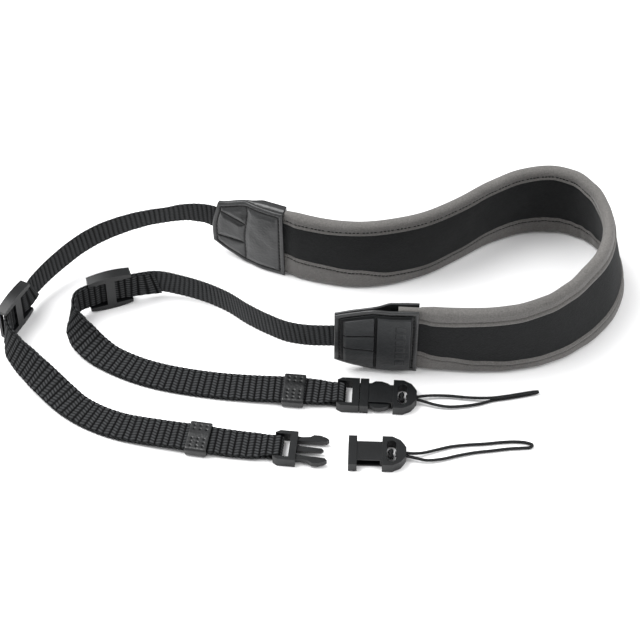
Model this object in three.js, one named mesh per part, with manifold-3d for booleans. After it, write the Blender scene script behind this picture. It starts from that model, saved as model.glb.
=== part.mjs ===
// Camera neck strap: a padded neck band with two webbing straps, sliders, keepers, clip buckles and
// two cord loops, lying as it was put down. Millimetres, +Z up, floor at z = 0.
import * as THREE from 'three';
import { mergeVertices } from 'three/addons/utils/BufferGeometryUtils.js';
import Module from 'manifold-3d';

const wasm = await Module();
wasm.setup();

// Driving dimensions
const GAP = 0.3;            // clearance between touching pieces
const PAD_HEIGHT = 40.5;    // width of the neck band, standing on its long edge
const PAD_THICK = 5.0;
const PAD_END_THICK = 3.0;  // the band is pressed thin inside the end tabs
const LEATHER = 1.2;        // end tab leather
const TAB_LENGTH = 35;      // end tab, from the webbing to its edge on the band
const TAB_LAP = 9;          // how far the band reaches into the tab
const WEB_WIDTH = 13;
const WEB_THICK = 1.0;
const SLIDER = { length: 19, height: 20, thick: 4.4, rail: 3, bar: 1.3 };
const KEEPER = { length: 9, wall: 0.9 };
const CLIP = { width: 14.8, thick: 4.8, frame: 9.4, male: 22.4, female: 23.8, flange: 3.6, d: 13.9 };
const CORD = 1.25;          // cord diameter

// Centre line of the band at mid height, from the back tab's webbing end to the front tab's.
// lean: degrees that the top edge leans into the loop; top, low: height of the grey borders.
const BAND = [
  { x: -46.5, y: 43.0, lean: 0, top: 7, low: 14 },
  { x: -32.0, y: 35.4, lean: 1, top: 7, low: 14 },
  { x: -16.0, y: 28.2, lean: 2, top: 7, low: 14 },
  { x: 0.0, y: 22.8, lean: 2, top: 6.5, low: 13.5 },
  { x: 16.0, y: 20.4, lean: 1, top: 6, low: 12 },
  { x: 31.0, y: 22.0, lean: 1, top: 6, low: 9 },
  { x: 46.0, y: 26.8, lean: 2, top: 6, low: 8 },
  { x: 60.0, y: 35.0, lean: 3, top: 6, low: 9 },
  { x: 74.0, y: 44.8, lean: 2.5, top: 6, low: 10 },
  { x: 88.0, y: 51.5, lean: 1, top: 6, low: 10.5 },
  { x: 101.0, y: 53.4, lean: 0, top: 6, low: 10.5 },
  { x: 111.5, y: 51.0, lean: 3, top: 6.5, low: 10 },
  { x: 120.0, y: 44.0, lean: 8, top: 7, low: 10 },
  { x: 125.8, y: 33.0, lean: 12, top: 7.5, low: 9.5 },
  { x: 127.0, y: 18.0, lean: 13, top: 8, low: 9 },
  { x: 122.8, y: 4.0, lean: 12, top: 8, low: 8.5 },
  { x: 115.0, y: -6.8, lean: 11, top: 8, low: 8 },
  { x: 105.5, y: -15.8, lean: 7, top: 8, low: 7.5 },
  { x: 94.5, y: -22.4, lean: 3, top: 8, low: 7.5 },
  { x: 81.0, y: -26.4, lean: 0, top: 8.5, low: 7.5 },
  { x: 67.0, y: -27.7, lean: -2, top: 8.5, low: 8.5 },
  { x: 53.0, y: -27.3, lean: -3, top: 9, low: 10.5 },
  { x: 40.5, y: -26.4, lean: -3, top: 9, low: 12.5 },
  { x: 23.0, y: -25.8, lean: -2, top: 9, low: 12.5 },
  { x: 6.0, y: -25.2, lean: 0, top: 9, low: 12.5 },
];

// Outline of an end tab: distance from its webbing end, and reach above and below the centre line.
const TAB_OUTLINE = [
  { s: 0, up: 14.5, down: 13.5 },
  { s: 8, up: 17.0, down: 17.5 },
  { s: 16, up: 19.4, down: 20.0 },
  { s: TAB_LENGTH, up: 20.2, down: 20.2 },
];

// Each webbing's route, on the middle plane between its two layers, from inside the tab to the clip.
// tilt: 0 standing on edge, 90 lying with the outer face up. shift: towards the inner face.
// half: half the spacing of the layers. width: the webbing bunches up at the clip's bar.
const FRONT_ROUTE = [
  { x: 16, y: -25.55, z: 20.2, tilt: -1, half: 0 },
  { x: 11, y: -25.4, z: 20.2, tilt: 0, half: 0 },
  { x: 5.4, y: -25.2, z: 20.2, tilt: 0, half: 0 },
  { x: -4, y: -24.4, z: 19.2, tilt: 0, half: 0.3 },
  { x: -13.5, y: -21.5, z: 17.5, tilt: 0 },
  { x: -22.5, y: -15.3, z: 15.3, tilt: 0 },
  { x: -31, y: -7.6, z: 12.6, tilt: 0 },
  { x: -40.5, y: 2.8, z: 8.8, tilt: 0 },
  { x: -50, y: 9.4, z: 7.2, tilt: 0 },
  { x: -61, y: 13.2, z: 7.6, tilt: 0 },
  { x: -71, y: 14.3, z: 9.0, tilt: 0 },
  { x: -82.6, y: 11.9, z: 10, tilt: 0, shift: 0.55 },
  { x: -91, y: 9.1, z: 10, tilt: 0, shift: -0.55 },
  { x: -99.4, y: 6.3, z: 10, tilt: 0, shift: 0.55 },
  { x: -104.6, y: 2.2, z: 9.8, tilt: 2 },
  { x: -106.3, y: -3.6, z: 8.8, tilt: 12 },
  { x: -104.2, y: -9.6, z: 6.8, tilt: 34 },
  { x: -100.2, y: -14.6, z: 4.8, tilt: 58 },
  { x: -95.2, y: -18.8, z: 2.8, tilt: 80 },
  { x: -89.5, y: -22.5, z: 1.6, tilt: 90 },
  { x: -78, y: -28.4, z: 1.25, tilt: 90 },
  { x: -65, y: -32.8, z: 1.25, tilt: 90 },
  { x: -45, y: -36.8, z: 1.3, tilt: 90 },
  { x: -29, y: -38.8, z: 1.8, tilt: 90 },
  { x: -11, y: -40.4, z: 2.6, tilt: 90 },
  { x: -2, y: -41.4, z: 2.6, tilt: 90, width: 12.6 },
  { x: 4.4, y: -42.2, z: 2.5, tilt: 90, half: 1.3, width: 10.4 },
  { x: 8.7, y: -42.5, z: 2.4, tilt: 90, half: 1.75, width: 10.0 },
];
const BACK_ROUTE = [
  { x: -37, y: 38.0, z: 20.2, tilt: 0, half: 0 },
  { x: -42, y: 40.6, z: 20.2, tilt: 0, half: 0 },
  { x: -47, y: 43.2, z: 20.2, tilt: 0, half: 0 },
  { x: -53, y: 44.9, z: 20, tilt: 6, half: 0.3 },
  { x: -60.5, y: 45.2, z: 19.5, tilt: 11 },
  { x: -67.5, y: 44.2, z: 19, tilt: 14 },
  { x: -75, y: 43.1, z: 18.5, tilt: 13 },
  { x: -82.5, y: 41.6, z: 17.5, tilt: 10 },
  { x: -89.5, y: 39.5, z: 16.5, tilt: 7 },
  { x: -97, y: 36.3, z: 15.4, tilt: 4 },
  { x: -104.2, y: 32.0, z: 14, tilt: 2 },
  { x: -111, y: 26.2, z: 12.6, tilt: 0 },
  { x: -118, y: 18.8, z: 11.2, tilt: 0 },
  { x: -124.2, y: 10.6, z: 10.2, tilt: 0, shift: 0.2 },
  { x: -127.0, y: 5.0, z: 10, tilt: 0, shift: 0.55 },
  { x: -130.9, y: -2.6, z: 10, tilt: 0, shift: -0.55 },
  { x: -134.1, y: -10.2, z: 10, tilt: 0, shift: 0.9 },
  { x: -133.4, y: -16.2, z: 9.2, tilt: 10, shift: 0.6 },
  { x: -129.6, y: -22.4, z: 7.7, tilt: 26 },
  { x: -122.6, y: -30.0, z: 6.1, tilt: 42 },
  { x: -115.4, y: -37.2, z: 4.7, tilt: 60 },
  { x: -109, y: -43.2, z: 3.0, tilt: 78 },
  { x: -102, y: -49.0, z: 1.7, tilt: 90 },
  { x: -93, y: -54.4, z: 1.25, tilt: 90 },
  { x: -82.5, y: -58.8, z: 1.5, tilt: 90 },
  { x: -68, y: -62.4, z: 2.2, tilt: 90 },
  { x: -51, y: -65.6, z: 2.6, tilt: 90 },
  { x: -38, y: -67.6, z: 1.9, tilt: 90 },
  { x: -28, y: -69.0, z: 2.0, tilt: 90, width: 12.6 },
  { x: -21.6, y: -69.8, z: 2.4, tilt: 90, half: 1.3, width: 10.6 },
  { x: -17.3, y: -70.27, z: 2.4, tilt: 90, half: 1.75, width: 10.0 },
];
const FRONT_TAIL = 19;      // how far the free end reaches past the slider's middle
const BACK_TAIL = 12;

// Where the hard pieces lie: position of the piece's own origin and its turn about +Z.
const FRONT_CLIP = { x: 16.8, y: -43.1, turn: -3.5 };
const BACK_MALE = { x: -18.9, y: -70.1, turn: -6 };
const BACK_FEMALE = { x: 11.6, y: -73.0, turn: -2 };

// Cord loops, from the knot out through the hole, round the tip and back.
const FRONT_CORD = [
  [36.1, -43.5, 2.4], [40.6, -43.8, 2.4], [43.5, -43.2, 2.1], [47.8, -42.6, 1.7], [54, -42.6, 1.5],
  [61, -43.4, 1.5], [67, -44.0, 1.8], [72.5, -44.0, 2.0], [78, -43.2, 2.0], [84, -42.0, 2.0],
  [88.6, -41.0, 1.9], [91.0, -40.5, 1.7], [91.9, -40.3, 1.3], [91.0, -40.6, 0.9], [88.4, -41.2, 0.65],
  [84, -42.2, 0.65], [78, -43.4, 0.65], [72.5, -44.4, 0.65], [67, -46.2, 0.7], [61, -47.5, 1.0],
  [54, -48.2, 1.3], [48.4, -47.5, 1.7], [43.6, -46.1, 2.1], [40.6, -45.3, 2.4], [36.1, -45.0, 2.4],
];
const BACK_CORD = [
  [30.9, -72.9, 2.4], [35.5, -73.1, 2.4], [38.4, -73.0, 2.0], [42.5, -72.2, 1.4], [48, -70.4, 1.0],
  [54, -68.6, 0.8], [61, -67.6, 0.7], [68, -67.1, 0.7], [75, -66.3, 0.7], [81, -66.0, 0.7],
  [85.6, -66.6, 0.7], [87.7, -67.7, 0.7], [87.0, -68.8, 0.7], [83.6, -69.2, 0.7], [78, -69.6, 0.7],
  [71, -70.6, 0.7], [64, -71.5, 0.7], [57, -73.1, 0.8], [50, -75.1, 1.0], [43.6, -76.0, 1.4],
  [39.2, -75.3, 2.0], [35.5, -74.6, 2.4], [30.9, -74.4, 2.4],
];

const group = new THREE.Group();
const looks = {
  jersey: { color: 0x1b1b1d, roughness: 0.95 },
  border: { color: 0x656160, roughness: 0.9 },
  leather: { color: 0x3b3b3c, roughness: 0.45 },
  rubber: { color: 0x37383a, roughness: 0.55 },
  webbing: { color: 0x2a2b2e, roughness: 0.8 },
  plastic: { color: 0x1e1f22, roughness: 0.35 },
  cord: { color: 0x18181a, roughness: 0.85 },
};

function addMesh(name, geometry, look, parent = group) {
  const material = new THREE.MeshStandardMaterial({ ...looks[look], metalness: 0 });
  const mesh = new THREE.Mesh(geometry, material);
  mesh.name = name;
  parent.add(mesh);
  return mesh;
}

// --- joining and cutting -------------------------------------------------------------------------
function toSolid(geometry, x = 0, y = 0, z = 0, turnZ = 0) {
  const g = geometry.clone();
  g.deleteAttribute('normal');
  g.deleteAttribute('uv');
  g.rotateZ(THREE.MathUtils.degToRad(turnZ));
  g.translate(x, y, z);
  const merged = mergeVertices(g, 1e-4);
  return new wasm.Manifold(new wasm.Mesh({
    numProp: 3,
    vertProperties: new Float32Array(merged.attributes.position.array),
    triVerts: new Uint32Array(merged.index.array),
  }));
}

function fromSolid(solid) {
  const mesh = solid.getMesh();
  const g = new THREE.BufferGeometry();
  g.setAttribute('position', new THREE.BufferAttribute(new Float32Array(mesh.vertProperties), 3));
  g.setIndex(new THREE.BufferAttribute(new Uint32Array(mesh.triVerts), 1));
  return g;
}

// A block from its low and high corners
function block([x0, y0, z0], [x1, y1, z1]) {
  return toSolid(new THREE.BoxGeometry(x1 - x0, y1 - y0, z1 - z0), (x0 + x1) / 2, (y0 + y1) / 2, (z0 + z1) / 2);
}

// A plate: an outline of [x, y] points, from z0 to z1
function plate(points, z0, z1) {
  const shape = new THREE.Shape(points.map(([x, y]) => new THREE.Vector2(x, y)));
  const g = new THREE.ExtrudeGeometry(shape, { depth: z1 - z0, bevelEnabled: false });
  return toSolid(g, 0, 0, z0);
}

// --- pieces that follow a path -------------------------------------------------------------------
const smooth = (f) => f * f * (3 - 2 * f);

// Samples a table of rows at even steps: the place follows a spline, the other columns ease between rows.
function sample(rows, step, fields) {
  const curve = new THREE.CatmullRomCurve3(rows.map((r) => new THREE.Vector3(r.x, r.y, r.z ?? 0)));
  curve.arcLengthDivisions = rows.length * 60;
  const count = Math.round(curve.getLength() / step);
  const out = [];
  for (let i = 0; i <= count; i += 1) {
    const t = curve.getUtoTmapping(i / count);
    const at = Math.min(t * (rows.length - 1), rows.length - 1 - 1e-9);
    const row = Math.floor(at);
    const f = smooth(at - row);
    const entry = { p: curve.getPoint(t), s: (i / count) * curve.getLength() };
    for (const [key, fallback] of Object.entries(fields)) {
      const a = rows[row][key] ?? fallback;
      const b = rows[row + 1][key] ?? fallback;
      entry[key] = a + (b - a) * f;
    }
    out.push(entry);
  }
  return out;
}

// Gives each sample its frame: v across the strip, n towards the inner face of the loop.
function addFrames(samples, side, tiltKey) {
  const up = new THREE.Vector3(0, 0, 1);
  samples.forEach((e, i) => {
    const a = samples[Math.max(i - 1, 0)].p;
    const b = samples[Math.min(i + 1, samples.length - 1)].p;
    const t = b.clone().sub(a).normalize();
    const v0 = up.clone().addScaledVector(t, -up.dot(t)).normalize();
    const n0 = v0.clone().cross(t).multiplyScalar(side);
    const angle = THREE.MathUtils.degToRad(e[tiltKey]);
    e.t = t;
    e.v = v0.clone().multiplyScalar(Math.cos(angle)).addScaledVector(n0, Math.sin(angle));
    e.n = n0.clone().multiplyScalar(Math.cos(angle)).addScaledVector(v0, -Math.sin(angle));
  });
  return samples;
}

// A closed strip through rings of points, every ring with the same count, capped at both ends.
function strip(rings) {
  const count = rings[0].length;
  const flat = rings.flat();
  const index = [];
  for (let r = 0; r + 1 < rings.length; r += 1) {
    for (let k = 0; k < count; k += 1) {
      const a = r * count + k;
      const b = r * count + ((k + 1) % count);
      index.push(a, b, b + count, a, b + count, a + count);
    }
  }
  const last = (rings.length - 1) * count;
  for (let k = 1; k + 1 < count; k += 1) {
    index.push(0, k + 1, k, last, last + k, last + k + 1);
  }
  let volume = 0;
  for (let i = 0; i < index.length; i += 3) {
    volume += flat[index[i]].dot(flat[index[i + 1]].clone().cross(flat[index[i + 2]]));
  }
  if (volume < 0) index.reverse();
  const g = new THREE.BufferGeometry();
  g.setAttribute('position', new THREE.BufferAttribute(new Float32Array(flat.flatMap((p) => p.toArray())), 3));
  g.setIndex(index);
  return g;
}

// One ring: [v, n] offsets from a sample
const ring = (e, offsets) => offsets.map(([v, n]) => e.p.clone().addScaledVector(e.v, v).addScaledVector(e.n, n));

// Rounded section between v0 and v1, from n0 to n1, with the corners cut by c
function section(v0, v1, n0, n1, c) {
  return [
    [v0 + c, n0], [v1 - c, n0], [v1, n0 + c], [v1, n1 - c],
    [v1 - c, n1], [v0 + c, n1], [v0, n1 - c], [v0, n0 + c],
  ];
}

// --- neck band -----------------------------------------------------------------------------------
const half = PAD_HEIGHT / 2;
const band = sample(BAND, 5, { lean: 0, top: 8, low: 8 });
for (const e of band) {
  const lean = THREE.MathUtils.degToRad(e.lean);
  e.p.z = half * Math.cos(lean) + (PAD_THICK / 2) * Math.abs(Math.sin(lean));
}
addFrames(band, -1, 'lean');
const bandLength = band[band.length - 1].s;
const fromEnd = (e) => Math.min(e.s, bandLength - e.s);
const padThick = (e) => THREE.MathUtils.lerp(
  PAD_END_THICK, PAD_THICK, smooth(THREE.MathUtils.clamp((fromEnd(e) - TAB_LENGTH - 0.5) / 6, 0, 1)));
const padded = band.filter((e) => fromEnd(e) >= TAB_LENGTH - TAB_LAP);

addMesh('pad_core', strip(padded.map((e) => {
  const t = padThick(e) / 2 - 0.2;
  return ring(e, section(-half + e.low + GAP / 2, half - e.top - GAP / 2, -t, t, 0.4));
})), 'jersey');
addMesh('pad_border_upper', strip(padded.map((e) => {
  const t = padThick(e) / 2;
  return ring(e, section(half - e.top + GAP / 2, half - 0.5 * (fromEnd(e) < TAB_LENGTH + 1), -t, t, 1.1));
})), 'border');
addMesh('pad_border_lower', strip(padded.map((e) => {
  const t = padThick(e) / 2;
  return ring(e, section(-half + 0.5 * (fromEnd(e) < TAB_LENGTH + 1), -half + e.low - GAP / 2, -t, t, 1.1));
})), 'border');

// --- end tabs: two leather layers, the outer one carrying a moulded label --------------------------
function tabSpan(s) {
  const i = TAB_OUTLINE.findIndex((row, k) => k > 0 && s <= row.s + 1e-6);
  const [a, b] = [TAB_OUTLINE[i - 1], TAB_OUTLINE[i]];
  const f = (s - a.s) / (b.s - a.s);
  return { up: a.up + (b.up - a.up) * f, down: a.down + (b.down - a.down) * f };
}

// The tab's own samples, every 2.5 mm from its webbing end
function tabSamples(atStart) {
  const curve = new THREE.CatmullRomCurve3(band.map((e) => e.p));
  const out = [];
  for (let s = 0; s <= TAB_LENGTH + 1e-6; s += 2.5) {
    const u = atStart ? s / bandLength : 1 - s / bandLength;
    const near = band[Math.round(u * (band.length - 1))];
    out.push({ p: curve.getPointAt(u), v: near.v, n: near.n, lean: near.lean, d: s });
  }
  const frames = addFrames(out, atStart ? -1 : 1, 'lean');
  return frames;
}
// Middle of a leather layer, off the centre plane: close to the webbing, wider over the band's end
const layerAt = (d) => THREE.MathUtils.lerp(
  WEB_THICK / 2 + GAP + 0.2 + LEATHER / 2, PAD_END_THICK / 2 + GAP + LEATHER / 2,
  smooth(THREE.MathUtils.clamp((d - 12) / 12, 0, 1)));

function addTab(name, atStart) {
  const samples = tabSamples(atStart);
  const layer = (sign) => strip(samples.map((e) => {
    const { up, down } = tabSpan(e.d);
    const n = sign * layerAt(e.d);
    return ring(e, section(-down, up, n - LEATHER / 2, n + LEATHER / 2, 0.3));
  }));
  addMesh(`${name}_inner_leather`, layer(1), 'leather');
  addMesh(`${name}_outer_leather`, layer(-1), 'leather');

  // Moulded label: a base plate, one raised panel beside the band and three raised ribs
  const labelPart = (d0, d1, low, high, n0, n1) => {
    const part = samples.filter((e) => e.d >= d0 && e.d <= d1);
    return toSolid(strip(part.map((e) => {
      const { up, down } = tabSpan(e.d);
      const base = -(layerAt(e.d) + LEATHER / 2 + GAP);
      return ring(e, [
        [-down + 2 + (up + down - 4) * low, base - n0], [-down + 2 + (up + down - 4) * high, base - n0],
        [-down + 2 + (up + down - 4) * high, base - n1], [-down + 2 + (up + down - 4) * low, base - n1],
      ]);
    })));
  };
  let label = labelPart(2.5, 32.5, 0, 1, 0, 0.8);
  label = label.add(labelPart(17.5, 32.5, 0.03, 0.97, 0.5, 1.5));
  for (const [low, high] of [[0.05, 0.33], [0.37, 0.63], [0.67, 0.95]]) {
    label = label.add(labelPart(2.5, 15, low, high, 0.5, 1.4));
  }
  addMesh(`${name}_label`, fromSolid(label), 'rubber');
}
addTab('tab_back', true);
addTab('tab_front', false);

// --- webbing ---------------------------------------------------------------------------------------
// Runs out on the outer side, turns round the clip's bar and comes back on the inner side to its free
// end past the slider.
function addWebbing(name, rows, sliderRow, tail) {
  const samples = sample(rows, 2.2, { tilt: 0, shift: 0, half: 0.65, width: WEB_WIDTH });
  addFrames(samples, 1, 'tilt');
  const slider = new THREE.Vector3(rows[sliderRow].x, rows[sliderRow].y, rows[sliderRow].z);
  const sliderIndex = samples.reduce((best, e, i) => (
    e.p.distanceTo(slider) < samples[best].p.distanceTo(slider) ? i : best), 0);
  const at = (e, offset, thick = WEB_THICK) => {
    const n = e.shift + offset;
    const w = e.width / 2;
    return ring(e, [[-w, n - thick / 2], [w, n - thick / 2], [w, n + thick / 2], [-w, n + thick / 2]]);
  };
  const rings = samples.map((e) => at(e, -e.half));
  // the turn round the bar, seen along the bar
  const end = samples[samples.length - 1];
  for (let a = -75; a <= 75; a += 15) {
    const angle = THREE.MathUtils.degToRad(a);
    const radial = end.t.clone().multiplyScalar(Math.cos(angle)).addScaledVector(end.n, Math.sin(angle));
    const w = end.width / 2;
    rings.push([[-w, -1], [w, -1], [w, 1], [-w, 1]].map(([v, side]) => {
      const r = end.half - side * -0.5 * WEB_THICK;
      return end.p.clone().addScaledVector(end.n, end.shift).addScaledVector(end.v, v)
        .addScaledVector(radial, r);
    }));
  }
  const first = samples.findIndex((e) => e.s > samples[sliderIndex].s - tail);
  for (let i = samples.length - 1; i >= first; i -= 1) rings.push(at(samples[i], samples[i].half).slice());
  // After the turn the layer's faces have changed sides, so those rings are listed mirrored in n.
  for (let r = samples.length; r < rings.length; r += 1) {
    if (r < samples.length + 11) {
      const [a, b, c, d] = rings[r];
      rings[r] = [d, c, b, a];
    } else {
      const [a, b, c, d] = rings[r];
      rings[r] = [d, c, b, a];
    }
  }
  // slanted cut of the free end: its lower edge is the longer one
  const cut = rings[rings.length - 1];
  for (const k of [2, 3]) cut[k] = cut[k].clone();
  for (const k of [0, 3]) cut[k].addScaledVector(samples[first].t, -4.5);
  addMesh(name, strip(rings), 'webbing');
  return samples;
}
const frontWeb = addWebbing('webbing_front', FRONT_ROUTE, 12, FRONT_TAIL);
const backWeb = addWebbing('webbing_back', BACK_ROUTE, 15, BACK_TAIL);

// --- sliders: two rails, two end bars and a middle bar towards the inner face ----------------------
function addSlider(name, a, b) {
  const { length, height, thick, rail, bar } = SLIDER;
  const [L, H, T] = [length / 2, height / 2, thick / 2];
  const outline = [];
  for (let i = 0; i <= 12; i += 1) {
    const x = -L + (length * i) / 12;
    outline.push([x, H - 1.2 + 1.2 * (1 - (x / L) ** 2)]);
  }
  outline.push([L, H - rail], [-L, H - rail]);
  const railSolid = plate(outline, -T, T);
  const lower = plate(outline.map(([x, y]) => [x, -y]).reverse(), -T, T);
  let solid = railSolid.add(lower);
  solid = solid.add(block([-L, -H + 2, -T], [-L + 2, H - 2, -T + bar]));
  solid = solid.add(block([L - 2, -H + 2, -T], [L, H - 2, -T + bar]));
  solid = solid.add(block([-2, -H + 2, T - bar], [2, H - 2, T]));
  const mesh = addMesh(name, fromSolid(solid), 'plastic');
  // local x along the webbing, y upwards, z to the inner face of the loop
  const along = new THREE.Vector3(b.x - a.x, b.y - a.y, 0).normalize();
  const up = new THREE.Vector3(0, 0, 1);
  mesh.quaternion.setFromRotationMatrix(new THREE.Matrix4().makeBasis(along, up, along.clone().cross(up)));
  mesh.position.set((a.x + b.x) / 2, (a.y + b.y) / 2, H);
}
// the middles of its two end bars
addSlider('slider_front', FRONT_ROUTE[13], FRONT_ROUTE[11]);
addSlider('slider_back', { x: -134.8, y: -10.2 }, { x: -127.0, y: 5.0 });

// --- keepers: a leather sleeve round both layers --------------------------------------------------
function addKeeper(name, samples, x) {
  const middle = samples.reduce((best, e) => (
    e.tilt > 80 && Math.abs(e.p.x - x) < Math.abs(best.p.x - x) ? e : best), samples[samples.length - 1]);
  const w = WEB_WIDTH / 2 + GAP;
  const t = 0.65 + WEB_THICK / 2 + GAP;
  const L = KEEPER.length / 2;
  const outer = block([-L, -w - KEEPER.wall, -t - KEEPER.wall], [L, w + KEEPER.wall, t + KEEPER.wall]);
  const solid = outer.subtract(block([-L - 1, -w, -t], [L + 1, w, t]));
  const mesh = addMesh(name, fromSolid(solid), 'leather');
  mesh.position.set(middle.p.x, middle.p.y, t + KEEPER.wall);
  mesh.rotation.z = Math.atan2(middle.t.y, middle.t.x);
}
addKeeper('keeper_front', frontWeb, -11);
addKeeper('keeper_back', backWeb, -51);

// --- clip buckles ------------------------------------------------------------------------------------
// Plug: frame with the webbing bar, two spring arms with paddles and a middle guide. x runs to its tip.
function plug() {
  const W = CLIP.width / 2;
  const { thick, frame, male } = CLIP;
  const frameOutline = [[0, -W + 1.2], [2, -W], [frame, -W], [frame, W], [2, W], [0, W - 1.2]];
  let solid = plate(frameOutline, 0, thick);
  solid = solid.subtract(block([-1, -5.7, -1], [6.4, 5.7, thick + 1]));
  const bar = new THREE.CylinderGeometry(0.9, 0.9, 12, 12);
  solid = solid.add(toSolid(bar, 1.6, 0, thick / 2));
  for (const side of [-1, 1]) {
    const arm = [
      [frame - 1, 3.4], [frame + 2, 3.6], [15.4, 3.9], [17, 3.9], [male - 1, 4.2], [male, 5.2],
      [male - 1.2, 6.2], [18.6, 7.1], [16.0, 7.1], [14.4, 6.0], [frame + 2, 5.6], [frame - 1, 5.8],
    ];
    const outline = side > 0 ? arm : arm.map(([x, y]) => [x, -y]).reverse();
    solid = solid.add(plate(outline, 1.2, 3.6));
  }
  return solid.add(plate([[frame - 1, -1.5], [19.6, -0.9], [20.6, 0], [19.6, 0.9], [frame - 1, 1.5]], 1.7, 3.1));
}

// Socket: flange ring, neck of two plates open at its sides, and a D end with the cord's slot
function socket() {
  const W = CLIP.width / 2;
  const { thick, flange, d, female } = CLIP;
  let solid = block([0, -W, 0], [flange, W, thick]);
  solid = solid.add(block([flange - 1, -4.7, 0.2], [d + 1, 4.7, thick - 0.2]));
  const dOutline = [
    [d, -W], [d + 4.2, -W], [d + 7.6, -W + 1.8], [female - 0.8, -W + 3.9], [female, -W + 5.4],
    [female, W - 5.4], [female - 0.8, W - 3.9], [d + 7.6, W - 1.8], [d + 4.2, W], [d, W],
  ];
  solid = solid.add(plate(dOutline, 0, thick));
  solid = solid.subtract(block([-1, -6.4, 0.9], [flange + 0.5, 6.4, thick - 0.9]));
  solid = solid.subtract(block([flange - 0.5, -6.4, 0.9], [d - 0.8, 6.4, thick - 0.9]));
  const slot = [];
  for (let i = 0; i <= 6; i += 1) {
    const a = (Math.PI * i) / 6;
    slot.push([d + 3.9 + 1.9 * Math.cos(a), 3.4 + 1.9 * Math.sin(a)]);
  }
  for (let i = 0; i <= 6; i += 1) {
    const a = Math.PI + (Math.PI * i) / 6;
    slot.push([d + 3.9 + 1.9 * Math.cos(a), -3.4 + 1.9 * Math.sin(a)]);
  }
  solid = solid.subtract(plate(slot, -1, thick + 1));
  return solid.subtract(block([d + 4, -1.8, 1.3], [female + 1, 1.8, 3.5]));
}

function place(name, solid, { x, y, turn }, back = 0) {
  const mesh = addMesh(name, fromSolid(solid), 'plastic');
  const angle = THREE.MathUtils.degToRad(turn);
  mesh.position.set(x - back * Math.cos(angle), y - back * Math.sin(angle), 0);
  mesh.rotation.z = angle;
}
place('clip_front_socket', socket(), FRONT_CLIP);
place('clip_front_plug', plug(), FRONT_CLIP, CLIP.frame + GAP);
place('clip_back_socket', socket(), BACK_FEMALE);
place('clip_back_plug', plug(), BACK_MALE);

// --- cord loops and their knots ----------------------------------------------------------------------
function addCord(name, points, knot) {
  const curve = new THREE.CatmullRomCurve3(points.map((p) => new THREE.Vector3(...p)));
  const shape = new THREE.Shape();
  for (let i = 0; i < 8; i += 1) {
    const a = (2 * Math.PI * (i + 0.5)) / 8;
    const [x, y] = [(CORD / 2) * Math.cos(a), (CORD / 2) * Math.sin(a)];
    if (i === 0) shape.moveTo(x, y); else shape.lineTo(x, y);
  }
  shape.closePath();
  const g = new THREE.ExtrudeGeometry(shape, { steps: 38, bevelEnabled: false, extrudePath: curve });
  addMesh(`cord_loop_${name}`, g, 'cord');
  const ball = new THREE.SphereGeometry(1, 12, 8);
  ball.scale(1.1, 1.9, 1.5);
  const mesh = addMesh(`cord_knot_${name}`, ball, 'cord');
  mesh.position.set(...knot);
}
addCord('front', FRONT_CORD, [34.2, -44.2, 2.4]);
addCord('back', BACK_CORD, [29.0, -73.6, 2.4]);

// The origin is under the middle of the whole strap, on the floor
const extent = new THREE.Box3().setFromObject(group, true);
const centre = extent.getCenter(new THREE.Vector3());
group.children.forEach((mesh) => {
  mesh.position.x -= centre.x;
  mesh.position.y -= centre.y;
});

export default group;
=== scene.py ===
"""Camera neck strap, lying as it was put down.

Lengths in the tables are millimetres in the strap's own working frame; place() moves them to the
row frame in metres.
"""

import math

import bmesh
import bpy
import numpy as np
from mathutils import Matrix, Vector


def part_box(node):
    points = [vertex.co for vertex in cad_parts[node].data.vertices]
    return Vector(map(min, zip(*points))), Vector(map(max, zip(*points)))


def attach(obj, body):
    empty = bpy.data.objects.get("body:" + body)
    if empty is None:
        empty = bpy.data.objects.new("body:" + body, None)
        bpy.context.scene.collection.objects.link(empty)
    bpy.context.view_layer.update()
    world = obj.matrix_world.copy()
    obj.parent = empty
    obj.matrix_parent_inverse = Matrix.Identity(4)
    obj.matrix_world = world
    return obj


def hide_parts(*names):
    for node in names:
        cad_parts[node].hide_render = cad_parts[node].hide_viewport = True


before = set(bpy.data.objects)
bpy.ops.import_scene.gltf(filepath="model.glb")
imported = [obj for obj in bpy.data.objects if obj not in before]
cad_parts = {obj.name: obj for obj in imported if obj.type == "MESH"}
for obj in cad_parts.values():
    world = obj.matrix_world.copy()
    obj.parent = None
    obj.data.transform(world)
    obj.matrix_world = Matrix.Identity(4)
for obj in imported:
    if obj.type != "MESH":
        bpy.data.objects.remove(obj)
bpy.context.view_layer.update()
scene = bpy.context.scene

MM = 0.001
MIDDLE = np.array([-1.687, -12.550, 0.0])  # middle of the whole strap in the working frame

PAD_HEIGHT, PAD_THICK, PAD_END_THICK = 40.5, 5.0, 3.0
LEATHER, TAB_LENGTH, TAB_LAP = 1.2, 35.0, 9.0
WEB_WIDTH, WEB_THICK = 13.0, 1.0
GAP = 0.3
CORD = 1.25

# ---------------------------------------------------------------- camera
FOCAL, ELEVATION, DISTANCE = 116.4, 50.0, 0.9
aim = Vector((0.001687, 0.01255, 0.0))
elevation = math.radians(ELEVATION)
camera_data = bpy.data.cameras.new("camera")
camera_data.lens = FOCAL
camera_data.sensor_width = 36.0
camera_data.clip_start = 0.01
camera = bpy.data.objects.new("camera", camera_data)
camera.location = aim + Vector((0, -math.cos(elevation), math.sin(elevation))) * DISTANCE
camera.rotation_euler = (math.pi / 2 - elevation, 0, 0)
scene.collection.objects.link(camera)
scene.camera = camera
scene.view_settings.view_transform = "Standard"


def place(points):
    return (np.asarray(points, float) - MIDDLE) * MM


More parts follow.
